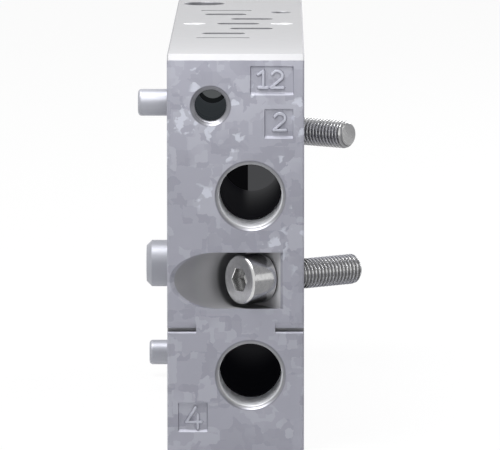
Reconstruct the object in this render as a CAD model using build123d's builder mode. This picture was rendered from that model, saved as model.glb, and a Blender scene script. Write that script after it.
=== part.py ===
import math
import os

from build123d import *

# Manifold plate for one valve with a staggered-slot interface, joined side by side with its like.
# X runs across the plate with right positive, Y from the front end to the back, Z up.
# The origin is the centre of the base. A place on a face is given as its depth behind the front end
# and its drop below the valve face, or its height above the base for what belongs to the foot.

# Casting
plate_width = 27.0
plate_depth = 136.0
plate_height = 79.0
machined_edge = 1.2
side_edge = 0.3

# Valve interface on the top face, slots long across the plate
interface_depth = 71.3
slot_pitch = 11.75
slot_offset = 2.8
slot_length = 8.9
slot_width = 3.5
slot_mouth_depth = 5.0
drop_length = 6.5
hole_edge = 0.12
valve_screw_spacing = 18.2
valve_screw_r = 2.0
valve_screw_depth = 12.0
valve_screw_edge = 0.35
locating_hole_x = 8.9
locating_hole_back = 28.7
locating_hole_r = 2.1
locating_hole_depth = 5.0

# Pilot slots, one at each end of the interface
pilot_slot_gap = 10.15
pilot_slot_length = 11.0
pilot_slot_width = 1.3

# Round pocket at the back of the top face
rear_pocket_x = -7.9
rear_pocket_from_back = 13.0
rear_pocket_r = 4.5
rear_pocket_depth = 6.0

# Work ports 2 and 4 on the front end
port_x = 2.9
port_2_drop = 28.0
port_4_height = 15.4
port_thread_r = 6.58
port_mouth_r = 6.95
port_thread_depth = 13.0
port_passage_r = 5.9

# Pilot ports, 12 on the front end and 14 on the back end
pilot_port_12_x = -4.95
pilot_port_14_x = 0.9
pilot_port_drop = 10.2
pilot_thread_r = 3.5
pilot_mouth_r = 4.0
pilot_thread_depth = 9.0
pilot_passage_r = 3.05
pilot_chamber_r = 3.55
pilot_chamber_length = 4.4

# Through galleries 1, 3 and 5
supply_gallery_r = 7.0
supply_gallery_drop = 34.0
exhaust_gallery_3_r = 5.0
exhaust_gallery_3_drop = 14.6
exhaust_gallery_5_r = 6.0
exhaust_gallery_5_drop = 23.0
gallery_edge = 0.4

# O-rings in the left side face
ring_cord_r = 1.0
ring_wall = 1.4
ring_groove_width = 2.6
ring_groove_depth = 1.5

# Joining screws, hexagon socket head, and their inclined seats
screw_angle = 38.0
screw_r = 3.0
screw_length = 23.1
screw_tip_edge = 0.6
head_r = 5.0
head_height = 6.0
head_round = 0.35
socket_across_flats = 5.0
socket_depth = 3.0
front_screw_drop = 44.8
rear_screw_drop = 28.0
seat_x = 5.45
seat_inset = 5.05
pocket_r = 5.6
pocket_setback = 1.8
screw_clearance = 0.3
tapped_depth = 15.0

# Locating spigots on the left side face and their sockets in the right one
spigot_length = 5.85
pin_spigot_r = 2.65
main_spigot_r = 4.9
pin_spigot_edge = 0.7
main_spigot_edge = 1.1
front_pin_depth = 8.5
front_pin_drop = 10.3
rear_pin_from_back = 31.0
rear_pin_height = 5.1
main_spigot_depth = 80.0
main_spigot_drop = 51.4
socket_radial_clearance = 0.12
socket_end_clearance = 0.35
socket_edge = 0.6

# Side notches on the front end, above port 4: a ramp into a narrow slit over a flat ledge
notch_length = 5.7
notch_height = 1.9
notch_ledge_above_port = 8.6
notch_ramp_cut = 0.5
notch_slit_height = 0.75
notch_slit_cut = 2.2
notch_lip = 0.25

# Recessed fields for the port numbers, each with its size and its centre
label_recess = 0.5
label_corner = 0.3
label_12_size = (8.6, 5.8)
label_12_place = (7.15, 5.2)
label_2_size = (5.7, 5.9)
label_2_place = (8.5, 13.7)
label_4_size = (5.9, 5.9)
label_4_x = -8.45
label_4_height = 6.95

# Derived planes and places
right_x = plate_width / 2
left_x = -right_x
front_y = -plate_depth / 2
back_y = plate_depth / 2
port_4_drop = plate_height - port_4_height
label_4_place = (label_4_x, plate_height - label_4_height)
notch_ledge_drop = port_4_drop - notch_ledge_above_port
notch_top_drop = notch_ledge_drop - notch_height
notch_slit_drop = notch_ledge_drop - notch_slit_height

top_face = Plane(origin=(0, front_y, plate_height))
front_face = Plane(origin=(0, front_y, plate_height), x_dir=(1, 0, 0), z_dir=(0, -1, 0))
back_face = Plane(origin=(0, back_y, plate_height), x_dir=(-1, 0, 0), z_dir=(0, 1, 0))
left_face = Plane(origin=(left_x, front_y, plate_height), x_dir=(0, 1, 0), z_dir=(-1, 0, 0))
right_face = left_face.offset(-plate_width)

slot_3 = (-slot_offset, interface_depth - 2 * slot_pitch)
slot_2 = (slot_offset, interface_depth - slot_pitch)
slot_1 = (0, interface_depth)
slot_4 = (slot_offset, interface_depth + slot_pitch)
slot_5 = (-slot_offset, interface_depth + 2 * slot_pitch)
pilot_slot_12 = (-slot_offset, slot_3[1] - pilot_slot_gap)
pilot_slot_14 = (-slot_offset, slot_5[1] + pilot_slot_gap)
valve_screw_left = (-valve_screw_spacing / 2, interface_depth)
valve_screw_right = (valve_screw_spacing / 2, interface_depth)
locating_hole = (locating_hole_x, interface_depth + locating_hole_back)
rear_pocket = (rear_pocket_x, plate_depth - rear_pocket_from_back)

front_pin = (front_pin_depth, front_pin_drop)
rear_pin = (plate_depth - rear_pin_from_back, plate_height - rear_pin_height)
main_spigot = (main_spigot_depth, main_spigot_drop)

gallery_1 = (interface_depth, supply_gallery_drop)
gallery_3 = (slot_3[1], exhaust_gallery_3_drop)
gallery_5 = (slot_5[1], exhaust_gallery_5_drop)
galleries = {
    "supply_seal": (gallery_1, supply_gallery_r),
    "exhaust_seal_3": (gallery_3, exhaust_gallery_3_r),
    "exhaust_seal_5": (gallery_5, exhaust_gallery_5_r),
}

across = math.cos(math.radians(screw_angle))
inward = math.sin(math.radians(screw_angle))
side_inset = seat_inset + (right_x - seat_x) * inward / across


def joint_plane(x, inset, drop, end):
    """Plane square to a joining screw, facing its head; end is -1 at the front and 1 at the back."""
    return Plane(
        origin=(x, end * (plate_depth / 2 - inset), plate_height - drop),
        x_dir=(inward, end * across, 0),
        z_dir=(-across, end * inward, 0),
    )


joints = {
    "front_cap_screw": (front_screw_drop, -1),
    "rear_cap_screw": (rear_screw_drop, 1),
}


# Casting with its machined holes
with BuildPart() as manifold_body:
    # Block: its side view, with the top end edges broken, pulled across the width
    with BuildSketch(Plane.YZ):
        with Locations((0, plate_height / 2)):
            Rectangle(plate_depth, plate_height)
        chamfer(vertices().group_by(Axis.Y)[-1], length=machined_edge)
    extrude(amount=right_x, both=True)
    side_faces = faces().filter_by(Axis.X)
    chamfer(side_faces.edges(), length=side_edge)

    # Locating spigots on the left, the small ones rounded and the main one chamfered
    with BuildSketch(left_face):
        with Locations(front_pin, rear_pin):
            Circle(pin_spigot_r)
    extrude(amount=spigot_length)
    fillet(edges(Select.LAST).group_by(Axis.X)[0], pin_spigot_edge)
    with BuildSketch(left_face):
        with Locations(main_spigot):
            Circle(main_spigot_r)
    extrude(amount=spigot_length)
    chamfer(edges(Select.LAST).group_by(Axis.X)[0], length=main_spigot_edge)

    # Spigot sockets on the right
    with BuildSketch(right_face):
        with Locations(front_pin, rear_pin):
            Circle(pin_spigot_r + socket_radial_clearance)
        with Locations(main_spigot):
            Circle(main_spigot_r + socket_radial_clearance)
    extrude(amount=spigot_length + socket_end_clearance, mode=Mode.SUBTRACT)
    chamfer(edges(Select.LAST).group_by(Axis.X)[-1], length=socket_edge)

    # Through galleries and the ring groove round each on the left
    for (depth, drop), gallery_r in galleries.values():
        groove_r = gallery_r + ring_wall
        with BuildSketch(left_face):
            with Locations((depth, drop)):
                Circle(gallery_r)
        extrude(amount=-plate_width, mode=Mode.SUBTRACT)
        chamfer(edges(Select.LAST).filter_by(GeomType.CIRCLE), length=gallery_edge)
        with BuildSketch(left_face):
            with Locations((depth, drop)):
                Circle(groove_r + ring_groove_width)
                Circle(groove_r, mode=Mode.SUBTRACT)
        extrude(amount=-ring_groove_depth, mode=Mode.SUBTRACT)

    # Valve slots: a long mouth, then a shorter drop to the passage below
    with BuildSketch(top_face):
        with Locations(slot_1, slot_2, slot_3, slot_4, slot_5):
            SlotOverall(slot_length, slot_width)
    extrude(amount=-slot_mouth_depth, mode=Mode.SUBTRACT)
    drops = (
        (slot_1, supply_gallery_drop),
        (slot_2, port_2_drop),
        (slot_3, exhaust_gallery_3_drop),
        (slot_4, port_4_drop),
        (slot_5, exhaust_gallery_5_drop),
    )
    for place, reach in drops:
        with BuildSketch(top_face):
            with Locations(place):
                SlotOverall(drop_length, slot_width)
        extrude(amount=-reach, mode=Mode.SUBTRACT)

    # Pilot slots down to the pilot passages
    with BuildSketch(top_face):
        with Locations(pilot_slot_12, pilot_slot_14):
            SlotOverall(pilot_slot_length, pilot_slot_width)
    extrude(amount=-pilot_port_drop, mode=Mode.SUBTRACT)

    # Valve screw holes, locating hole and round pocket, each with a broken mouth
    top_holes = (
        (valve_screw_left, valve_screw_r, valve_screw_edge, valve_screw_depth),
        (valve_screw_right, valve_screw_r, valve_screw_edge, valve_screw_depth),
        (locating_hole, locating_hole_r, hole_edge, locating_hole_depth),
        (rear_pocket, rear_pocket_r, hole_edge, rear_pocket_depth),
    )
    for place, hole_r, mouth_edge, hole_depth in top_holes:
        with Locations(top_face.location):
            with Locations(place):
                CounterSinkHole(hole_r, hole_r + mouth_edge, depth=hole_depth, counter_sink_angle=90)

    # Work ports: a threaded bore with a countersunk mouth, then a passage as far as its drop
    for drop, end_slot in ((port_2_drop, slot_2), (port_4_drop, slot_4)):
        with Locations(front_face.location):
            with Locations((port_x, -drop)):
                CounterSinkHole(
                    port_thread_r, port_mouth_r, depth=port_thread_depth, counter_sink_angle=90
                )
                Hole(port_passage_r, depth=end_slot[1] + slot_width / 2)

    # Pilot ports: the passage ends in a wider chamber under its slot
    pilot_ports = (
        (front_face, pilot_port_12_x, pilot_slot_12[1]),
        (back_face, -pilot_port_14_x, plate_depth - pilot_slot_14[1]),
    )
    for end_face, x, reach in pilot_ports:
        chamber_start = reach - pilot_slot_width / 2
        with Locations(end_face.location):
            with Locations((x, -pilot_port_drop)):
                CounterSinkHole(
                    pilot_thread_r, pilot_mouth_r, depth=pilot_thread_depth, counter_sink_angle=90
                )
                Hole(pilot_passage_r, depth=chamber_start)
        with BuildSketch(end_face.offset(-chamber_start)):
            with Locations((x, -pilot_port_drop)):
                Circle(pilot_chamber_r)
        extrude(amount=-pilot_chamber_length, mode=Mode.SUBTRACT)

    # Screw pockets, clearance bores and the tapped holes that take the next plate's screws
    for drop, end in joints.values():
        seat = joint_plane(seat_x, seat_inset, drop, end)
        with BuildSketch(seat):
            with Locations((-pocket_setback, 0)):
                Circle(pocket_r)
                Rectangle(plate_depth, 2 * pocket_r, align=(Align.MIN, Align.CENTER))
        extrude(amount=plate_depth, mode=Mode.SUBTRACT)
        with BuildSketch(seat):
            Circle(screw_r + screw_clearance)
        extrude(amount=-screw_length, mode=Mode.SUBTRACT)
        mouth = joint_plane(left_x, side_inset, drop, end)
        with BuildSketch(mouth.offset(screw_r)):
            Circle(screw_r)
        extrude(amount=-(tapped_depth + screw_r), mode=Mode.SUBTRACT)

    # Side notches: a ramp into the front end, the slit, and the ledge with its front edge broken
    for notch_x in (left_x, right_x - notch_length):
        with BuildSketch(left_face.offset(left_x - notch_x)):
            with BuildLine():
                Polyline(
                    (-notch_ramp_cut, notch_top_drop),
                    (0, notch_top_drop),
                    (notch_ramp_cut, notch_slit_drop),
                    (notch_slit_cut, notch_slit_drop),
                    (notch_slit_cut, notch_ledge_drop),
                    (notch_lip, notch_ledge_drop),
                    (0, notch_ledge_drop + notch_lip),
                    (-notch_ramp_cut, notch_ledge_drop + notch_lip),
                    close=True,
                )
            make_face()
        extrude(amount=-notch_length, mode=Mode.SUBTRACT)

    # Fields for the port numbers
    labels = (
        (label_12_size, label_12_place),
        (label_2_size, label_2_place),
        (label_4_size, label_4_place),
    )
    for (field_width, field_height), (x, drop) in labels:
        with BuildSketch(front_face):
            with Locations((x, -drop)):
                RectangleRounded(field_width, field_height, label_corner)
        extrude(amount=-label_recess, mode=Mode.SUBTRACT)

manifold_body.part.label = "manifold_body"


# Joining screws, each seated in its pocket with its end standing out of the right side
def make_cap_screw(name, drop, end):
    seat = joint_plane(seat_x, seat_inset, drop, end)
    with BuildPart() as screw:
        with BuildSketch(seat):
            Circle(head_r)
        extrude(amount=head_height)
        along = Axis(seat.origin, seat.z_dir)
        fillet(faces().sort_by(along)[-1].edges(), head_round)
        with BuildSketch(seat):
            Circle(screw_r)
        extrude(amount=-screw_length)
        chamfer(faces().sort_by(along)[0].edges(), length=screw_tip_edge)
        with BuildSketch(seat.offset(head_height)):
            RegularPolygon(socket_across_flats / 2, 6, major_radius=False)
        extrude(amount=-socket_depth, mode=Mode.SUBTRACT)
    screw.part.label = name
    return screw.part


# Sealing rings, each lying on the floor of its groove
def make_ring(name, place, gallery_r):
    floor = left_face.offset(-ring_groove_depth)
    with BuildPart() as ring:
        with Locations(floor.offset(ring_cord_r).location):
            with Locations(place):
                Torus(gallery_r + ring_wall + ring_groove_width / 2, ring_cord_r)
    ring.part.label = name
    return ring.part


pieces = [manifold_body.part]
pieces += [make_cap_screw(name, drop, end) for name, (drop, end) in joints.items()]
pieces += [make_ring(name, place, gallery_r) for name, (place, gallery_r) in galleries.items()]

os.makedirs("parts", exist_ok=True)
for piece in pieces:
    export_step(piece, f"parts/{piece.label}.step")
    print(piece.label, round(piece.volume, 1), "mm3")
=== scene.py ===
import math

import bpy
import numpy as np
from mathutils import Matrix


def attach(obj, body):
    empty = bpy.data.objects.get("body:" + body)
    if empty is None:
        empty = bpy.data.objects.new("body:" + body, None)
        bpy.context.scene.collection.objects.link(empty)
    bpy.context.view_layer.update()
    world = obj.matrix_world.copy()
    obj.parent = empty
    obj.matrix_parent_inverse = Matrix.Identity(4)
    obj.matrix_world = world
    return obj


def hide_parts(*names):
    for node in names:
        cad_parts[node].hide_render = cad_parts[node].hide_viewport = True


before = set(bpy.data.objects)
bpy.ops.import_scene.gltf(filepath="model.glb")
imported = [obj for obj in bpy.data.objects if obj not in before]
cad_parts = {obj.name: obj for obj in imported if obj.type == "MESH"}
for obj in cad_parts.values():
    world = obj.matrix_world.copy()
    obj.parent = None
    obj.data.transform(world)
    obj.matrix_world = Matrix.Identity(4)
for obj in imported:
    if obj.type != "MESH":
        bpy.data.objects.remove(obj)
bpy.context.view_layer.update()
mm = 0.001

# The plate, in millimetres: it stands on z 0, and its front end is at y -68
plate = {"halfWidth": 13.5, "halfDepth": 68.0, "height": 79.0}
# Where the inclined screws seat, and their angle in degrees: the inset is from an end, the drops
# are from the top face
screwJoint = {"angle": 38.0, "seatX": 5.45, "seatInset": 5.05, "frontDrop": 44.8, "rearDrop": 28.0}
# The valve's two screw holes, at this x and at its opposite
valveHole = {"x": 9.1, "y": 3.3}


# A socket in a node tree: an operator between two of them, or one and a number, adds its Math node
class Wire:
    def __init__(self, recipe, socket):
        self.recipe, self.socket = recipe, socket

    def calc(self, operation, *terms):
        return self.recipe.node("ShaderNodeMath", {"operation": operation}, dict(enumerate(terms)))

    def __add__(self, other):
        return self.calc("ADD", self, other)

    def __sub__(self, other):
        return self.calc("SUBTRACT", self, other)

    def __rsub__(self, other):
        return self.calc("SUBTRACT", other, self)

    def __mul__(self, other):
        return self.calc("MULTIPLY", self, other)

    def __pow__(self, other):
        return self.calc("POWER", self, other)

    def __gt__(self, other):
        return self.calc("GREATER_THAN", self, other)

    def __lt__(self, other):
        return self.calc("LESS_THAN", self, other)

    def __abs__(self):
        return self.calc("ABSOLUTE", self)

    def atLeast(self, other):
        return self.calc("MAXIMUM", self, other)

    __radd__ = __add__
    __rmul__ = __mul__


# A material or world as its node tree, with the few mixes that this scene needs
class Recipe:
    def __init__(self, owner):
        owner.use_nodes = True
        self.owner, self.tree = owner, owner.node_tree
        self.tree.nodes.clear()

    # Any node: its settings first, then the values or links of its sockets
    def node(self, kind, settings=None, values=None, out=0):
        made = self.tree.nodes.new(kind)
        for name, value in (settings or {}).items():
            setattr(made, name, value)
        for place, value in (values or {}).items():
            if isinstance(value, Wire):
                self.tree.links.new(value.socket, made.inputs[place])
            else:
                made.inputs[place].default_value = value
        return Wire(self, made.outputs[out])

    def place(self):
        return self.node("ShaderNodeTexCoord", out="Object")

    def attribute(self, name):
        return self.node("ShaderNodeAttribute", {"attribute_name": name}, out="Fac")

    def parts(self, vector):
        split = self.node("ShaderNodeSeparateXYZ", None, {0: vector})
        return [Wire(self, socket) for socket in split.socket.node.outputs]

    def vector(self, operation, first, second):
        return self.node("ShaderNodeVectorMath", {"operation": operation}, {0: first, 1: second})

    def noise(self, vector, size, detail=2.0, rough=0.5, out=0):
        values = {"Vector": vector, "Scale": 1 / (size * mm), "Detail": detail, "Roughness": rough}
        return self.node("ShaderNodeTexNoise", None, values, out)

    # A random colour for each blocky cell
    def cells(self, vector, size):
        values = {"Vector": vector, "Scale": 1 / (size * mm)}
        return self.node("ShaderNodeTexVoronoi", {"distance": "CHEBYCHEV"}, values, "Color")

    # From 0 at the first value to 1 at the second, which may be the lower one
    def ramp(self, value, start, end, kind="SMOOTHSTEP"):
        values = {"Value": value, "From Min": start, "From Max": end}
        return self.node("ShaderNodeMapRange", {"interpolation_type": kind}, values)

    def mixColour(self, share, first, second):
        settings = {"data_type": "RGBA", "blend_type": "MIX"}
        return self.node("ShaderNodeMix", settings, {0: share, 6: first, 7: second}, out=2)

    def bump(self, height, depth, strength):
        values = {"Height": height, "Distance": depth * mm, "Strength": strength}
        return self.node("ShaderNodeBump", None, values)

    def surface(self, **sockets):
        values = {name.replace("_", " "): value for name, value in sockets.items()}
        return self.node("ShaderNodeBsdfPrincipled", None, values)

    def finish(self, shader, kind="ShaderNodeOutputMaterial"):
        output = self.tree.nodes.new(kind)
        self.tree.links.new(shader.socket, output.inputs["Surface"])
        return self.owner


def rgb(red, green, blue):
    return (red, green, blue, 1.0)


# Sizes are in millimetres
castFinish = {
    "face": rgb(0.325, 0.328, 0.380),
    "lighter": rgb(0.400, 0.404, 0.458),
    "darker": rgb(0.262, 0.265, 0.310),
    "fleck": rgb(0.56, 0.58, 0.65),
    # painted shade: dark at the foot of the raised numbers and along the rims of the ports
    "paintedCreaseShade": rgb(0.15, 0.15, 0.18),
    "milled": rgb(0.39, 0.39, 0.395),
    "chamfer": rgb(0.36, 0.36, 0.372),
    # painted highlight: near white on the valve screws' countersinks, and in part on the screw
    # seats
    "cutHighlight": rgb(0.80, 0.80, 0.82),
    "bored": rgb(0.34, 0.34, 0.352),
    "spigot": rgb(0.365, 0.372, 0.41),
    # painted shade: near black inside the ports past their first light, and in the gap about each
    # screw head
    "hole": rgb(0.004, 0.004, 0.005),
    "blockSize": 4.6,
    "smallBlockSize": 2.0,
    "bigShare": 0.6,
    "patchSize": 11.0,
    "patchShare": 0.5,
    "lighterStep": (0.52, 0.66),
    "darkerStep": (0.54, 0.66),
    "toneShare": 0.6,
    "wanderSize": 0.9,
    "blockWander": 0.6,
    "fleckWander": 1.2,
    "fleckShift": (10.0, 0.0, 4.0),
    "fleckSize": 2.3,
    "fleckStep": (0.60, 0.65),
    "clusterSize": 8.0,
    "clusterStep": (0.58, 0.66),
    "clusterRise": (35.0, 78.0),
    "clusterLift": 0.10,
    "fleckShare": 0.7,
    "strokeHighlightShare": 0.35,
    "footShadeShare": 0.6,
    "strokeHighlightStep": (0.3, 1.0),
    "footLevel": 0.12,
    "footStep": (0.12, 0.02),
    "smearSize": 2.5,
    "brushSize": 0.35,
    "brushStretch": (0.05, 1.0, 1.0),
    "grainSize": 0.22,
    "grainDepth": 0.02,
    "grainStrength": 0.35,
    "grainBlocks": 0.4,
    "grainBrush": 0.3,
    "boredSmear": 0.5,
    "mouthShare": 0.2,
    "brushShare": 0.3,
    "rimShadeShare": 0.45,
}
# Roughness and metallic of the plain casting, and what each place adds to them
castSheen = {
    "rough": {
        "plain": 0.40, "block": 0.10, "smear": 0.08, "mouth": -0.08, "inside": 0.28,
        "top": 0.08, "cut": 0.3,
    },
    "metal": {"plain": 0.5, "skin": -0.15, "matt": -0.3, "mouth": 0.25, "inside": 0.25},
}


# Spangle of the cast skin: large and small random blocks weighed together and stepped into lighter
# and darker tones, then pale flecks in loose clusters, more of them near the top. Returns the
# colour and the random values of the large and the small blocks.
def castSpangle(r, place, height):
    look = castFinish
    # the coordinates wander a little, so that the blocks get ragged sides
    wander = r.noise(place, look["wanderSize"], 3.0, 0.6, out="Color")
    wander = r.vector("SUBTRACT", wander, (0.5, 0.5, 0.5))
    blocky, ragged = [
        r.vector("ADD", place, r.vector("MULTIPLY", wander, (look[reach] * mm,) * 3))
        for reach in ("blockWander", "fleckWander")
    ]
    bigLight, bigDark = r.parts(r.cells(blocky, look["blockSize"]))[:2]
    smallLight, smallDark = r.parts(r.cells(blocky, look["smallBlockSize"]))[:2]
    patch = (r.noise(place, look["patchSize"], 2.0) - 0.5) * look["patchShare"]
    bigShare = look["bigShare"]
    lighter = bigLight * bigShare + smallLight * (1 - bigShare) + patch
    darker = bigDark * bigShare + smallDark * (1 - bigShare) - patch
    share = r.ramp(lighter, *look["lighterStep"]) * look["toneShare"]
    colour = r.mixColour(share, look["face"], look["lighter"])
    share = r.ramp(darker, *look["darkerStep"]) * look["toneShare"]
    colour = r.mixColour(share, colour, look["darker"])
    shifted = r.vector("ADD", ragged, [value * mm for value in look["fleckShift"]])
    low, high = look["clusterRise"]
    rise = r.ramp(height, low * mm, high * mm) * look["clusterLift"]
    cluster = r.ramp(r.noise(shifted, look["clusterSize"], 1.0) + rise, *look["clusterStep"])
    fleck = r.ramp(r.noise(shifted, look["fleckSize"], 1.0), *look["fleckStep"]) * cluster
    colour = r.mixColour(fleck * look["fleckShare"], colour, look["fleck"])
    return colour, bigLight, smallLight


# Raised numbers: a painted highlight where the relief's attribute says a stroke rises, painted
# shade at their foot
def paintNumberShading(r, colour):
    look = castFinish
    strokeRise = r.attribute("strokeRise")
    share = r.ramp(strokeRise, *look["strokeHighlightStep"]) * look["strokeHighlightShare"]
    # painted highlight: the rising strokes take on the pale fleck colour
    colour = r.mixColour(share, colour, look["fleck"])
    # painted shade at the foot of each stroke
    foot = r.ramp(abs(strokeRise - look["footLevel"]), *look["footStep"])
    return r.mixColour(foot * look["footShadeShare"], colour, look["paintedCreaseShade"])


# A faint painted light in a port, an emission glow where no lamp shines: the depth that it fills,
# its colour, the depth over which it fades in, its radius and its leftmost x
def paintedPortLight(depth, colour, fadeIn=0.1, radius=9.0, leftmost=-20.0):
    return {
        "depth": depth, "colour": colour, "fadeIn": fadeIn, "radius": radius, "leftmost": leftmost,
    }


paintedPilotLights = (
    paintedPortLight(2.6, rgb(0.0245, 0.0285, 0.0315)),
    paintedPortLight(37.0, rgb(0.0080, 0.0090, 0.0098)),
    paintedPortLight(41.3, rgb(0.0860, 0.0910, 0.0940), radius=2.5),
)
# The ports of both ends, painted dark as shade past their first painted light: end -1 is the front
endPorts = {
    "port2": {"x": 2.9, "z": 51.0, "radius": 6.96, "end": -1, "lights": (
        paintedPortLight(12.9, rgb(0.0045, 0.0045, 0.0055)),
        paintedPortLight(61.2, rgb(0.0400, 0.0405, 0.0420), fadeIn=48.0, leftmost=2.1),
        paintedPortLight(61.2, rgb(0.0030, 0.0030, 0.0035)),
        paintedPortLight(61.2, rgb(0.0620, 0.0630, 0.0660), leftmost=2.1),
    )},
    "port4": {"x": 2.9, "z": 15.4, "radius": 6.96, "end": -1, "lights": (
        paintedPortLight(12.9, rgb(0.0012, 0.0012, 0.0018)),
        paintedPortLight(76.0, rgb(0.0085, 0.0085, 0.0095), fadeIn=36.0),
    )},
    "pilot12": {"x": -4.95, "z": 68.8, "radius": 4.0, "end": -1, "lights": paintedPilotLights},
    "pilot14": {"x": 0.9, "z": 68.8, "radius": 4.0, "end": 1, "lights": paintedPilotLights},
}
# A mouth is wider than its port by the margin, and marks reach this far from their end. A painted
# light's left edge is soft over these shares of the depth that it fades in over.
portMarks = {
    "margin": 0.03,
    "reach": 88.0,
    "rimWidth": 0.22,
    "rimCore": 0.02,
    "softLeft": 0.03,
    "softRight": 0.015,
}


# Marks of the end ports, from the distance to each port's axis and the depth behind its end: the
# mouths, the insides painted dark as shade from the first painted light's depth on, the thin rims
# about the radius painted dark as shade, and the glow, a painted light where each light grows as
# the square of the way to its full depth
def markPorts(r, x, y, z):
    marks = portMarks
    mouth, inside, rim, glow = 0, 0, 0, rgb(0, 0, 0)
    for port in endPorts.values():
        across, up = x - port["x"] * mm, z - port["z"] * mm
        apart = (across * across + up * up) ** 0.5
        outward = y * port["end"]
        here = outward > (plate["halfDepth"] - marks["reach"]) * mm
        near = (apart < (port["radius"] + marks["margin"]) * mm) * here
        mouth = near.atLeast(mouth)
        ring = abs(apart - port["radius"] * mm)
        ring = r.ramp(ring, marks["rimWidth"] * mm, marks["rimCore"] * mm)
        rim = (ring * here).atLeast(rim)
        darkFrom = (plate["halfDepth"] - port["lights"][0]["depth"]) * mm
        inside = (near * (outward < darkFrom)).atLeast(inside)
        for light in port["lights"]:
            fadeIn, left = light["fadeIn"], light["leftmost"]
            full = (plate["halfDepth"] - light["depth"]) * mm
            deeper = near * r.ramp(outward, full + fadeIn * mm, full, "LINEAR") ** 2
            left, right = left - marks["softLeft"] * fadeIn, left + marks["softRight"] * fadeIn
            deeper = deeper * r.ramp(x, left * mm, right * mm) * (apart < light["radius"] * mm)
            glow = r.mixColour(deeper, glow, light["colour"])
    return mouth, inside, rim, glow


# Places of the other finishes: drops are from the top face, insets from an end, and the side's
# skin lies this far under and over the half width
castPlaces = {
    "endSkinInset": 0.7,
    "sideSkin": (0.01, 0.02),
    "topDrop": 0.01,
    "chamferDrop": 1.2,
    "chamferInset": 1.3,
    "sinkRadius": 2.6,
    "sinkDrop": 1.1,
}


# Countersinks of the valve's screws, by the distance to each hole's axis
def markCountersinks(x, y, z, top):
    places = castPlaces
    cut = 0
    for side in (-1, 1):
        across, back = x - side * valveHole["x"] * mm, y - valveHole["y"] * mm
        around = (across * across + back * back) < (places["sinkRadius"] * mm) ** 2
        low = z > (plate["height"] - places["sinkDrop"]) * mm
        cut = (around * low * (1 - top)).atLeast(cut)
    return cut


# Distances out are along the screw's axis from its seat towards its head
pocketFinish = {
    # painted light on the pocket walls near each screw head, and painted shade far from it
    "scoopPaintedLight": rgb(0.52, 0.52, 0.54),
    "scoopPaintedShade": rgb(0.27, 0.27, 0.285),
    "halfHeight": 5.7,
    "startY": 45.0,
    "seatBand": 0.1,
    "offSeat": 0.3,
    "seatShare": 0.45,
    "nearStep": (13.0, 7.0),
    "farStep": (11.0, 17.0),
    # painted shade: near black in the gap between each screw head and its pocket
    "gapShadeStep": (6.3, 5.2),
    "gapShadeShare": 0.7,
}


# The screw pockets, away from the skin, and the distance out from their seats:
# out = -(x - seatX) cos angle + (|y| - seatY) sin angle
def markPockets(x, y, z, skin):
    look, joint = pocketFinish, screwJoint
    angle = math.radians(joint["angle"])
    seatY = plate["halfDepth"] - joint["seatInset"]
    frontZ, rearZ = [plate["height"] - joint[drop] for drop in ("frontDrop", "rearDrop")]
    left = (x - joint["seatX"] * mm) * -math.cos(angle)
    out = left + (abs(y) - seatY * mm) * math.sin(angle)
    level = z - frontZ * mm - (y > 0) * ((rearZ - frontZ) * mm)
    pocket = (abs(level) < look["halfHeight"] * mm) * (abs(y) > look["startY"] * mm) * (1 - skin)
    return pocket, out
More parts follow.
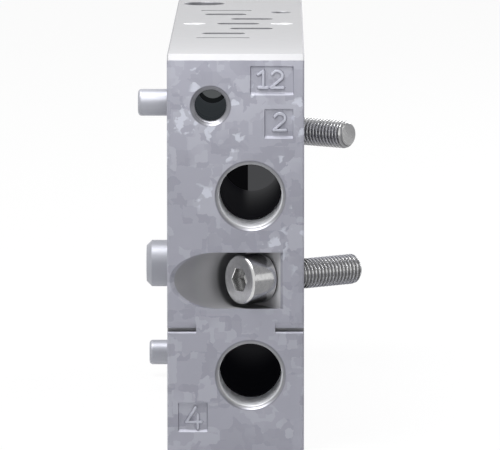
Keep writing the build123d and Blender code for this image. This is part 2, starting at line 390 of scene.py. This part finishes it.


# Cast and tumbled aluminium: a blocky spangle on the skin, milled and bored places smooth, and
# the end ports painted dark as shade where their threads end, with a faint painted glow deeper in.
# The screw pockets get painted light and shade, and the countersinks a painted highlight.
def makeCastAluminium():
    look, places, scoop = castFinish, castPlaces, pocketFinish
    r = Recipe(bpy.data.materials.new("castAluminium"))
    place = r.place()
    x, y, z = r.parts(place)
    mouth, inside, rim, glow = markPorts(r, x, y, z)
    # skin: the sides and ends, with the shallow number fields, but not the mouths of the ports
    end = abs(y) > (plate["halfDepth"] - places["endSkinInset"]) * mm
    under, over = places["sideSkin"]
    sideLimit = (plate["halfWidth"] + over) * mm
    side = (abs(x) > (plate["halfWidth"] - under) * mm) * (abs(x) < sideLimit)
    chamferFoot = (plate["height"] - places["chamferDrop"]) * mm
    skin = end.atLeast(side) * (1 - mouth) * (z < chamferFoot)
    top = z > (plate["height"] - places["topDrop"]) * mm
    chamfer = (z > chamferFoot) * (abs(y) > (plate["halfDepth"] - places["chamferInset"]) * mm)
    chamfer = chamfer * (1 - top)
    pocket, out = markPockets(x, y, z, skin)
    seatHighlight = pocket * (abs(out) < scoop["seatBand"] * mm) * scoop["seatShare"]
    cut = markCountersinks(x, y, z, top).atLeast(seatHighlight)
    walls = pocket * (out > scoop["offSeat"] * mm)
    scooped = walls * (1 - mouth)
    nearPaintedLight, farPaintedShade, gapShade = [
        r.ramp(out, scoop[step][0] * mm, scoop[step][1] * mm)
        for step in ("nearStep", "farStep", "gapShadeStep")
    ]
    brushed = r.vector("MULTIPLY", place, look["brushStretch"])
    brushed = r.noise(brushed, look["brushSize"], 3.0, 0.6)
    smear = r.noise(place, look["smearSize"], 3.0)

    colour, bigBlock, smallBlock = castSpangle(r, place, z)
    colour = paintNumberShading(r, colour)
    bored = r.mixColour(smear * look["boredSmear"], look["bored"], look["face"])
    bored = r.mixColour(mouth * look["mouthShare"], bored, look["darker"])
    bored = r.mixColour(x < -sideLimit, bored, look["spigot"])
    milled = r.mixColour(brushed * look["brushShare"], look["milled"], look["lighter"])
    colour = r.mixColour(skin, bored, colour)
    # painted light near the screw head and painted shade far from it, on the pocket walls
    colour = r.mixColour(scooped * nearPaintedLight, colour, scoop["scoopPaintedLight"])
    colour = r.mixColour(scooped * farPaintedShade, colour, scoop["scoopPaintedShade"])
    # painted shade: the gap between each screw head and its pocket wall goes near black
    colour = r.mixColour(walls * gapShade * scoop["gapShadeShare"], colour, look["hole"])
    # painted shade: a thin dark line along the rim of each port
    colour = r.mixColour(rim * skin.atLeast(mouth) * look["rimShadeShare"], colour, look["paintedCreaseShade"])
    colour = r.mixColour(top, colour, milled)
    # painted highlight: the countersinks go near white, and the screw seats partly so
    colour = r.mixColour(cut, colour, look["cutHighlight"])
    colour = r.mixColour(chamfer, colour, look["chamfer"])
    # painted shade: each port goes near black inside, past its first painted light
    colour = r.mixColour(inside, colour, look["hole"])

    grain = r.noise(place, look["grainSize"], 4.0, 0.6) * skin
    grain = grain + bigBlock * skin * look["grainBlocks"] + brushed * top * look["grainBrush"]
    sheen = castSheen["rough"]
    rough = sheen["plain"] + smallBlock * skin * sheen["block"] + smear * sheen["smear"]
    rough = rough + mouth * sheen["mouth"] + inside * sheen["inside"]
    rough = rough + top * sheen["top"] + cut * sheen["cut"]
    sheen = castSheen["metal"]
    matt = top.atLeast(chamfer).atLeast(cut)
    metal = sheen["plain"] + skin * sheen["skin"] + matt * sheen["matt"]
    metal = metal + mouth * sheen["mouth"] + inside * sheen["inside"]
    return r.finish(r.surface(
        Base_Color=colour, Metallic=metal, Roughness=rough,
        Normal=r.bump(grain, look["grainDepth"], look["grainStrength"]),
        # painted light: the emission glow stands in for light deep in the ports, where no lamp
        # shines
        Emission_Color=glow, Emission_Strength=1.0,
    ))


steelFinish = {
    "bright": rgb(0.70, 0.70, 0.70),
    "dull": rgb(0.40, 0.40, 0.40),
    # painted shade: the colour of the thread roots, the groove under the head and the socket
    "root": rgb(0.10, 0.10, 0.10),
    "smearSize": 0.8,
    "dullStep": (0.35, 0.7),
    "dullShare": 0.25,
    "roughness": 0.07,
    "smearRough": 0.08,
    "deepRough": 0.6,
    "grainSize": 0.2,
    "grainDepth": 0.006,
    "grainStrength": 0.5,
}


# Plain bright steel, smeared a little dull: rougher, and darker with painted shade, where its
# attribute of depth is high
def makeScrewSteel():
    look = steelFinish
    r = Recipe(bpy.data.materials.new("screwSteel"))
    place = r.place()
    depthShade = r.attribute("depthShade")
    smear = r.noise(place, look["smearSize"], 3.0, 0.6)
    dull = r.ramp(smear, *look["dullStep"]) * look["dullShare"]
    colour = r.mixColour(depthShade, r.mixColour(dull, look["bright"], look["dull"]), look["root"])
    rough = look["roughness"] + smear * look["smearRough"] + depthShade * look["deepRough"]
    grain = r.noise(place, look["grainSize"], 3.0)
    normal = r.bump(grain, look["grainDepth"], look["grainStrength"])
    return r.finish(r.surface(Base_Color=colour, Metallic=1.0, Roughness=rough, Normal=normal))


threadFinish = {
    "crest": rgb(0.93, 0.94, 0.97),
    # painted shade: the colour of the roots, of the cones and of the plain wall behind
    "root": rgb(0.09, 0.09, 0.10),
    "metal": 0.3,
    "roughness": 0.34,
    "smearSize": 0.4,
    "smearRough": 0.12,
}


# Cut thread in the casting: bright crests, and roots painted dark as shade
def makeCutThread():
    look = threadFinish
    r = Recipe(bpy.data.materials.new("cutThread"))
    colour = r.mixColour(r.attribute("depthShade"), look["crest"], look["root"])
    rough = look["roughness"] + r.noise(r.place(), look["smearSize"], 2.0) * look["smearRough"]
    return r.finish(r.surface(Base_Color=colour, Metallic=look["metal"], Roughness=rough))


rubberFinish = {
    "black": rgb(0.018, 0.018, 0.019),
    "dusty": rgb(0.05, 0.05, 0.052),
    "dustSize": 0.8,
    "dustStep": (0.45, 0.75),
    "dustShare": 0.6,
    "roughness": 0.48,
    "dustRough": 0.2,
    "grainSize": 0.15,
    "grainDepth": 0.008,
    "grainStrength": 0.5,
}


# Moulded rubber: near black with a little dust in its bloom
def makeSealRubber():
    look = rubberFinish
    r = Recipe(bpy.data.materials.new("sealRubber"))
    place = r.place()
    dust = r.noise(place, look["dustSize"], 4.0, 0.65)
    share = r.ramp(dust, *look["dustStep"]) * look["dustShare"]
    colour = r.mixColour(share, look["black"], look["dusty"])
    rough = look["roughness"] + dust * look["dustRough"]
    grain = r.noise(place, look["grainSize"], 2.0)
    normal = r.bump(grain, look["grainDepth"], look["grainStrength"])
    return r.finish(r.surface(Base_Color=colour, Roughness=rough, Normal=normal))


castAluminium = makeCastAluminium()
screwSteel = makeScrewSteel()
cutThread = makeCutThread()
sealRubber = makeSealRubber()
print("finishes made")


# Faces of a grid of rows by columns; a wrapped direction joins its last line to its first
def gridFaces(rows, columns, wrapRows, wrapColumns):
    i = np.arange(rows if wrapRows else rows - 1)
    j = np.arange(columns if wrapColumns else columns - 1)
    i, j = [part.ravel() for part in np.meshgrid(i, j, indexing="ij")]
    nextRow, nextColumn = (i + 1) % rows, (j + 1) % columns
    corners = [i * columns + j, i * columns + nextColumn, nextRow * columns + nextColumn]
    return np.stack(corners + [nextRow * columns + j], 1)


# A piece on the body root, from points in millimetres: layers are values for each of its points
def makePiece(name, points, faces, material, smoothAngle, layers):
    mesh = bpy.data.meshes.new(name)
    mesh.from_pydata(points.reshape(-1, 3) * mm, [], faces)
    mesh.polygons.foreach_set("use_smooth", np.ones(len(mesh.polygons), bool))
    for layerName, values in layers.items():
        layer = mesh.attributes.new(layerName, "FLOAT", "POINT")
        layer.data.foreach_set("value", np.asarray(values, float).ravel())
    mesh.materials.append(material)
    mesh.update()
    mesh.set_sharp_from_angle(angle=math.radians(smoothAngle))
    piece = bpy.data.objects.new(name, mesh)
    bpy.context.scene.collection.objects.link(piece)
    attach(piece, "root")
    return piece


# Frame of a hole or screw: origin, direction along it, and two directions square to that
def axisFrame(origin, along):
    along = np.array(along, float) / np.linalg.norm(along)
    up = np.array((0.0, 0.0, 1.0)) if abs(along[2]) < 0.9 else np.array((0.0, 1.0, 0.0))
    up = up - along * (up @ along)
    up /= np.linalg.norm(up)
    return np.array(origin, float), along, up, np.cross(along, up)


# Points of a turned shape: origin + along s + r (up cos t + side sin t), for rows of s and r
def turned(axis, s, r, angles):
    origin, along, up, side = axis
    circle = np.cos(angles)[:, None] * up + np.sin(angles)[:, None] * side
    return origin + s[..., None] * along + r[..., None] * circle


# Thread wave: 0 at the root and 1 at the crest, from the distance along over the pitch less the
# turn, a triangle wave with the given shares cut flat and its corners eased
def threadWave(s, angles, pitch, crestFlat, rootFlat):
    turn = (s / pitch - angles / (2 * math.pi)) % 1
    height = 1 - np.abs(2 * turn - 1)
    height = np.clip((height - rootFlat) / (1 - crestFlat - rootFlat), 0, 1)
    return height * height * (3 - 2 * height)


# Values that are the same all round, one for each row of a turned shape
def rowsRound(values, angles):
    return np.array(values, float)[:, None] + 0 * angles


capScrew = {
    "length": 23.1,
    "radius": 3.0,
    "threadRoot": 2.50,
    "pitch": 0.875,
    "crestFlat": 0.16,
    "rootFlat": 0.2,
    "tipRadius": 2.35,
    "tipLength": 0.7,
    "neckRadius": 3.4,
    "grooveRadius": 4.6,
    "grooveLength": 0.35,
    "grooveEdge": 0.15,
    "headRadius": 4.9,
    "headHeight": 6.0,
    "headRound": 0.45,
    "faceRings": (4.0, 3.2),
    "acrossFlats": 4.3,
    "socketDepth": 3.0,
    "socketEdge": 0.06,
    "socketEdgeDepth": 0.12,
    "drillShare": 0.45,
    "drillDepths": (0.5, 0.9),
    "columns": 96,
    "rowsPerTurn": 14,
    "roundRows": 6,
    "smoothAngle": 40,
}
# How deep each part of a cap screw lies, and so how dark its painted shade looks
screwShade = {
    "threadRoot": 0.6,
    "groove": 1.0,
    "head": 0.12,
    "socket": (0.0, 0.15, 0.15, 0.3),
    "tipMiddle": 0.2,
    "socketMiddle": 0.5,
}


# Shank rows from the tip to the seat: the thread wave, held inside the tip's cone
def shankRows(c, angles):
    rows = int(round(c["length"] / c["pitch"] * c["rowsPerTurn"]))
    s = rowsRound(np.linspace(-c["length"], 0, rows), angles)
    wave = threadWave(s, angles, c["pitch"], c["crestFlat"], c["rootFlat"])
    thread = c["threadRoot"] + (c["radius"] - c["threadRoot"]) * wave
    cone = c["tipRadius"] + (s + c["length"]) / c["tipLength"] * (c["radius"] - c["tipRadius"])
    return s, np.minimum(thread, cone), (1 - wave) * screwShade["threadRoot"]


# Head rows: neck, groove under the head, flank, quarter round shoulder and two rings on the face
def headRows(c, angles):
    bend = np.linspace(0, math.pi / 2, c["roundRows"])
    shoulder = c["headRadius"] - c["headRound"]
    flankStart = c["grooveLength"] + c["grooveEdge"]
    s = [0.0, 0.0, c["grooveLength"], flankStart]
    s += list(c["headHeight"] - c["headRound"] * (1 - np.sin(bend)))
    s += [c["headHeight"]] * len(c["faceRings"])
    r = [c["neckRadius"], c["grooveRadius"], c["grooveRadius"], c["headRadius"]]
    r += list(shoulder + c["headRound"] * np.cos(bend)) + list(c["faceRings"])
    depthShade = [screwShade["groove"]] * 3 + [screwShade["head"]] * (len(s) - 3)
    return [rowsRound(values, angles) for values in (s, r, depthShade)]


# Socket rows: broken edge, wall and floor. The radius is the half width across flats over the
# cosine of the angle from the nearest flat's middle.
def socketRows(c, angles):
    flat = (angles + math.pi / 6) % (math.pi / 3) - math.pi / 6
    hexagon = c["acrossFlats"] / 2 / np.cos(flat)
    head, floor = c["headHeight"], c["headHeight"] - c["socketDepth"]
    s = [head, head - c["socketEdgeDepth"], floor, floor - c["drillDepths"][0]]
    r = np.stack([hexagon + c["socketEdge"], hexagon, hexagon, hexagon * c["drillShare"]])
    return rowsRound(s, angles), r, rowsRound(screwShade["socket"], angles)


# Cap screw as one turned shell from the middle of its tip to the middle of its socket's floor
def makeCapScrew(name, node, drop, end):
    c, joint = capScrew, screwJoint
    slope = math.radians(joint["angle"])
    seatY = end * (plate["halfDepth"] - joint["seatInset"])
    origin = (joint["seatX"], seatY, plate["height"] - drop)
    axis = axisFrame(origin, (-math.cos(slope), end * math.sin(slope), 0))
    angles = np.arange(c["columns"]) * 2 * math.pi / c["columns"]
    lengths = [shankRows(c, angles), headRows(c, angles), socketRows(c, angles)]
    s, r, depthShade = [np.vstack(stacked) for stacked in zip(*lengths)]
    points = turned(axis, s, r, angles)
    rows, columns = r.shape
    faces = gridFaces(rows, columns, False, True).tolist()
    tip, floor = rows * columns, rows * columns + 1
    j = np.arange(columns)
    following = (j + 1) % columns
    last = (rows - 1) * columns
    faces += np.stack([following, j, np.full(columns, tip)], 1).tolist()
    faces += np.stack([last + j, last + following, np.full(columns, floor)], 1).tolist()
    middle = c["headHeight"] - c["socketDepth"] - c["drillDepths"][1]
    ends = np.array([axis[0] - axis[1] * c["length"], axis[0] + axis[1] * middle])
    points = np.vstack([points.reshape(-1, 3), ends])
    depthShade = np.append(depthShade.ravel(), [screwShade["tipMiddle"], screwShade["socketMiddle"]])
    smooth = c["smoothAngle"]
    piece = makePiece(name, points, faces, screwSteel, smooth, {"depthShade": depthShade})
    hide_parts(node)
    return piece


makeCapScrew("frontCapScrew", "front_cap_screw", screwJoint["frontDrop"], -1)
makeCapScrew("rearCapScrew", "rear_cap_screw", screwJoint["rearDrop"], 1)
print("cap screws made")


# first and last: where the thread starts and ends along the hole; wall: the hole's radius; least:
# the thread's own smallest radius
threadKinds = {
    "port": {
        "first": 0.37, "last": 13.0, "wall": 6.58, "least": 6.18, "pitch": 1.337, "columns": 132,
        "material": cutThread,
    },
    "pilot": {
        "first": 0.5, "last": 9.0, "wall": 3.5, "least": 3.12, "pitch": 1.0, "columns": 96,
        "material": castAluminium,
    },
    "tapped": {
        "first": 2.5, "last": 15.0, "wall": 3.0, "least": 2.6, "pitch": 1.0, "columns": 72,
        "material": cutThread,
    },
    "valveScrew": {
        "first": 0.35, "last": 12.0, "wall": 2.0, "least": 1.65, "pitch": 0.7, "columns": 60,
        "material": cutThread,
    },
}
# On the left side, the tapped holes' distance from the middle and their direction inwards
tappedHole = {"y": 56.66, "inX": 0.788, "inY": 0.616}


# Start of a hole and the way into it: on an end, on the left side and on the top face
def intoEnd(port):
    return (port["x"], port["end"] * plate["halfDepth"], port["z"]), (0, -port["end"], 0)


def intoSide(end, drop):
    start = (-plate["halfWidth"], end * tappedHole["y"], plate["height"] - drop)
    return start, (tappedHole["inX"], -end * tappedHole["inY"], 0)


def intoTop(side):
    return (side * valveHole["x"], valveHole["y"], plate["height"]), (0, 0, -1)


# Each thread's kind, where its hole starts, and the way into it
threadPlaces = {
    "portThread2": ("port", *intoEnd(endPorts["port2"])),
    "portThread4": ("port", *intoEnd(endPorts["port4"])),
    "pilotThread12": ("pilot", *intoEnd(endPorts["pilot12"])),
    "pilotThread14": ("pilot", *intoEnd(endPorts["pilot14"])),
    "frontTappedThread": ("tapped", *intoSide(-1, screwJoint["frontDrop"])),
    "rearTappedThread": ("tapped", *intoSide(1, screwJoint["rearDrop"])),
    "valveScrewThreadLeft": ("valveScrew", *intoTop(-1)),
    "valveScrewThreadRight": ("valveScrew", *intoTop(1)),
}
threadSleeve = {
    "rowsPerTurn": 14,
    "crestFlat": 0.2,
    "rootFlat": 0.16,
    "rootGap": 0.05,
    "intoWall": 0.1,
    "rootShade": 0.62,
    "mouthShade": 0.15,
    "coneShade": 0.7,
    "backShade": 0.5,
    "coneLimit": 0.001,
    "smoothAngle": 50,
}


# Thread sleeve as a closed ring: the thread's wave inside, started by a 45 degree cone, and a
# plain wall a little inside the casting. Its painted shade is darkest at the roots, and darker near
# the mouth.
def makeThreadSleeve(name, kindName, start, into):
    sleeve, kind = threadSleeve, threadKinds[kindName]
    first, last, wall, least = [kind[key] for key in ("first", "last", "wall", "least")]
    axis = axisFrame(start, into)
    angles = np.arange(kind["columns"]) * 2 * math.pi / kind["columns"]
    rows = int(round((last - first) / kind["pitch"] * sleeve["rowsPerTurn"]))
    s = rowsRound(np.linspace(first, last, rows), angles)
    wave = threadWave(s, angles, kind["pitch"], sleeve["crestFlat"], sleeve["rootFlat"])
    cone = wall - (s - first)
    inner = np.maximum(least + (wall - sleeve["rootGap"] - least) * (1 - wave), cone)
    nearMouth = 1 - (s - first) / (last - first)
    depthShade = np.clip((1 - wave) * sleeve["rootShade"] + nearMouth * sleeve["mouthShade"], 0, 1)
    depthShade = np.where(inner > cone + sleeve["coneLimit"], depthShade, sleeve["coneShade"])
    outerS = rowsRound([last, first], angles)
    s = np.vstack([s, outerS])
    r = np.vstack([inner, np.full_like(outerS, wall + sleeve["intoWall"])])
    depthShade = np.vstack([depthShade, 0 * outerS + sleeve["backShade"]])
    points = turned(axis, s, r, angles)
    faces = gridFaces(*r.shape, True, True)[:, ::-1].tolist()
    material, smooth = kind["material"], sleeve["smoothAngle"]
    return makePiece(name, points, faces, material, smooth, {"depthShade": depthShade})


for name, settings in threadPlaces.items():
    makeThreadSleeve(name, *settings)
print("threads made")


# Each field's width and height, its middle on the front end, and its signs with their shifts
numberFields = {
    "number12": {
        "size": (8.6, 5.8), "place": (7.15, 73.8), "signs": (("1", -1.80, 0.24), ("2", 1.02, 0.24)),
    },
    "number2": {"size": (5.7, 5.9), "place": (8.5, 65.3), "signs": (("2", 0.17, 0.36),)},
    "number4": {"size": (5.9, 5.9), "place": (-8.45, 6.95), "signs": (("4", 0.2, -0.1),)},
}
numberRelief = {
    "recess": 0.5,
    "floorGap": 0.02,
    "frontGap": 0.01,
    "sideGap": 0.01,
    "below": 0.25,
    "raised": 0.45,
    "stroke": 0.40,
    "slope": 0.18,
    "sideSlope": 0.14,
    "footSlope": 0.50,
    "step": 0.06,
    "smoothAngle": 60,
}


# Strokes of a sign as short straight runs, in millimetres about its middle
def signRuns(sign):
    if sign == "1":
        paths = [[(-0.95, 0.95), (0.1, 1.65), (0.1, -1.65)], [(-0.8, -1.65), (0.95, -1.65)]]
    elif sign == "2":
        bowl = np.radians(np.linspace(160, -35, 12))
        path = [(1.05 * math.cos(t), 0.70 + 0.98 * math.sin(t)) for t in bowl]
        paths = [path + [(-1.2, -1.65), (1.2, -1.65)]]
    else:
        paths = [[(0.35, 2.05), (-1.5, -0.85), (1.5, -0.85)], [(0.75, 0.6), (0.75, -2.05)]]
    return np.array([run for path in paths for run in zip(path[:-1], path[1:])])


# Height of the relief over a grid: a smooth step of the distance to the nearest stroke, or the
# slope that rises to the field's edge, whichever is higher
def reliefHeight(x, z, field):
    n = numberRelief
    nearest = np.full(x.shape, np.inf)
    for sign, shiftX, shiftZ in field["signs"]:
        for (ax, az), (bx, bz) in signRuns(sign):
            runX, runZ = bx - ax, bz - az
            px, pz = x - shiftX - ax, z - shiftZ - az
            share = np.clip((px * runX + pz * runZ) / (runX**2 + runZ**2), 0, 1)
            nearest = np.minimum(nearest, np.hypot(px - share * runX, pz - share * runZ))
    t = np.clip((n["stroke"] / 2 + n["slope"] - nearest) / n["slope"], 0, 1)
    stroke = t * t * (3 - 2 * t)
    height = n["raised"] * stroke
    full = n["recess"] - n["floorGap"] - n["frontGap"]
    width, tall = field["size"]
    for edge, slope in (
        (width / 2 - np.abs(x), n["sideSlope"]), (tall / 2 - z, n["sideSlope"]),
        (z + tall / 2, n["footSlope"]),
    ):
        height = np.maximum(height, full * np.clip(1 - edge / slope, 0, 1))
    return height, stroke


# Number plate as a closed slab: a relief grid in front and a flat grid behind the recess's floor
def makeNumber(name, field):
    n = numberRelief
    width, tall = (size - 2 * n["sideGap"] for size in field["size"])
    columns, rows = int(width / n["step"]), int(tall / n["step"])
    x, z = np.meshgrid(np.linspace(-width / 2, width / 2, columns),
                       np.linspace(-tall / 2, tall / 2, rows))
    floor = n["recess"] - n["floorGap"] - plate["halfDepth"]
    height, stroke = reliefHeight(x, z, field)
    front = np.stack([x + field["place"][0], floor - height, z + field["place"][1]], -1)
    back = front.copy()
    back[..., 1] = floor + n["below"]
    faces = gridFaces(rows, columns, False, False)
    count = rows * columns
    lines = np.arange(count).reshape(rows, columns)
    rim = np.concatenate([lines[0], lines[1:, -1], lines[-1, -2::-1], lines[-2:0:-1, 0]])
    following = np.roll(rim, -1)
    sides = np.stack([following, rim, rim + count, following + count], 1)
    faces = np.vstack([faces, faces[:, ::-1] + count, sides]).tolist()
    points = np.vstack([front.reshape(-1, 3), back.reshape(-1, 3)])
    layers = {"strokeRise": np.concatenate([stroke.ravel(), 0 * stroke.ravel()])}
    smooth = n["smoothAngle"]
    return makePiece(name, points, faces, castAluminium, smooth, layers)


for name, field in numberFields.items():
    makeNumber(name, field)
print("port numbers made")


# The CAD nodes that stay
for node, material in (
    ("manifold_body", castAluminium), ("supply_seal", sealRubber),
    ("exhaust_seal_3", sealRubber), ("exhaust_seal_5", sealRubber),
):
    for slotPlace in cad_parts[node].material_slots:
        slotPlace.material = material
print("CAD nodes dressed")


# The photograph's camera: its place in millimetres, its angles in degrees, and the farthest that
# it sees in metres
view = {
    "place": (8.775, -1202.0, 181.1), "tilt": 83.17, "turn": 0.30, "lens": 417.6, "sensor": 36,
    "farthest": 50,
}
cameraData = bpy.data.cameras.new("camera")
cameraData.lens = view["lens"]
cameraData.sensor_width = view["sensor"]
cameraData.clip_end = view["farthest"]
camera = bpy.data.objects.new("camera", cameraData)
camera.location = [value * mm for value in view["place"]]
camera.rotation_euler = (math.radians(view["tilt"]), 0, math.radians(view["turn"]))
bpy.context.scene.collection.objects.link(camera)
bpy.context.scene.camera = camera
bpy.context.scene.view_settings.view_transform = "Standard"

# The studio, in metres
studio = {
    "floorSize": 12.0,
    "floorDrop": 0.00005,
    "floorWhite": rgb(0.95, 0.95, 0.95),
    "worldFill": 0.24,
    "shadowShare": 0.06,
    "cardGrey": rgb(0.40, 0.40, 0.41),
    "cards": {
        "upperRight": ((0.5, -0.9, 0.24), (0.5, 0.6, 0.24), (0.5, 0.6, 1.2), (0.5, -0.9, 1.2)),
        "lowerRight": (
            (0.02, -0.6, 0.001), (1.1, -0.6, 0.001), (1.1, 0.4, 0.001), (0.02, 0.4, 0.001),
        ),
    },
    "lamps": {  # place, size, power, and the point that each is turned to
        "overhead": ((-0.22, -0.16, 0.78), 0.45, 5.8, (0, -0.04, 0.04)),
        "rightBack": ((0.60, 0.45, 0.30), 0.40, 5.0, (0, 0, 0.04)),
        "upperFront": ((-0.004, -0.113, 0.118), 0.04, 0.036, (0, -0.068, 0.06)),
    },
}


# A flat four-cornered object of the studio
def makeSheet(name, corners):
    mesh = bpy.data.meshes.new(name)
    mesh.from_pydata(corners, [], [(0, 1, 2, 3)])
    sheet = bpy.data.objects.new(name, mesh)
    bpy.context.scene.collection.objects.link(sheet)
    return sheet


# Share of a plain white that is shown: 1 for what the camera, reflections and glass see
def backdropRays(r):
    rays = [r.node("ShaderNodeLightPath", out=name)
            for name in ("Is Camera Ray", "Is Glossy Ray", "Is Transmission Ray")]
    return rays[0].atLeast(rays[1]).atLeast(rays[2])


# Floor: nearly plain white for the backdrop rays, with a small share of it lit and shadowed
def makeFloor():
    half, low = studio["floorSize"] / 2, -studio["floorDrop"]
    corners = [(-half, -half, low), (half, -half, low), (half, half, low), (-half, half, low)]
    floor = makeSheet("floor", corners)
    r = Recipe(bpy.data.materials.new("paleFloor"))
    diffuse = r.node("ShaderNodeBsdfDiffuse", None, {"Color": studio["floorWhite"]})
    glow = r.node("ShaderNodeEmission", None, {"Color": rgb(1, 1, 1), "Strength": 1.0})
    share = backdropRays(r) * (1 - studio["shadowShare"])
    mixed = r.node("ShaderNodeMixShader", None, {0: share, 1: diffuse, 2: glow})
    floor.data.materials.append(r.finish(mixed))


# Grey cards that only reflections see, so that the steel shows its shape
def makeCards():
    for name, corners in studio["cards"].items():
        card = makeSheet(name, corners)
        r = Recipe(bpy.data.materials.new(name))
        grey = {"Color": studio["cardGrey"], "Strength": 1.0}
        card.data.materials.append(r.finish(r.node("ShaderNodeEmission", None, grey)))
        for rays in ("camera", "diffuse", "transmission", "shadow"):
            setattr(card, "visible_" + rays, False)


# World: plain white for the backdrop rays, and a weaker fill for the light on the object
def makeWorld():
    world = bpy.data.worlds.new("studioWorld")
    bpy.context.scene.world = world
    r = Recipe(world)
    white = rgb(1, 1, 1)
    fill = r.node("ShaderNodeBackground", None, {"Color": white, "Strength": studio["worldFill"]})
    plain = r.node("ShaderNodeBackground", None, {"Color": white, "Strength": 1.0})
    mixed = r.node("ShaderNodeMixShader", None, {0: backdropRays(r), 1: fill, 2: plain})
    r.finish(mixed, "ShaderNodeOutputWorld")


# Square area lamps, each turned to its target: the tilt is the angle between the line from the
# target to the lamp and the vertical, and the turn is that line's direction on the floor
def makeLamps():
    for name, (place, size, power, target) in studio["lamps"].items():
        data = bpy.data.lights.new(name, "AREA")
        data.size, data.energy = size, power
        lamp = bpy.data.objects.new(name, data)
        lamp.location = place
        lamp.visible_camera = False
        away = np.array(place) - np.array(target)
        flat = math.hypot(away[0], away[1])
        lamp.rotation_euler = (math.atan2(flat, away[2]), 0, math.atan2(away[0], -away[1]))
        bpy.context.scene.collection.objects.link(lamp)


makeFloor()
makeCards()
makeWorld()
makeLamps()
print("camera, floor and lamps made")
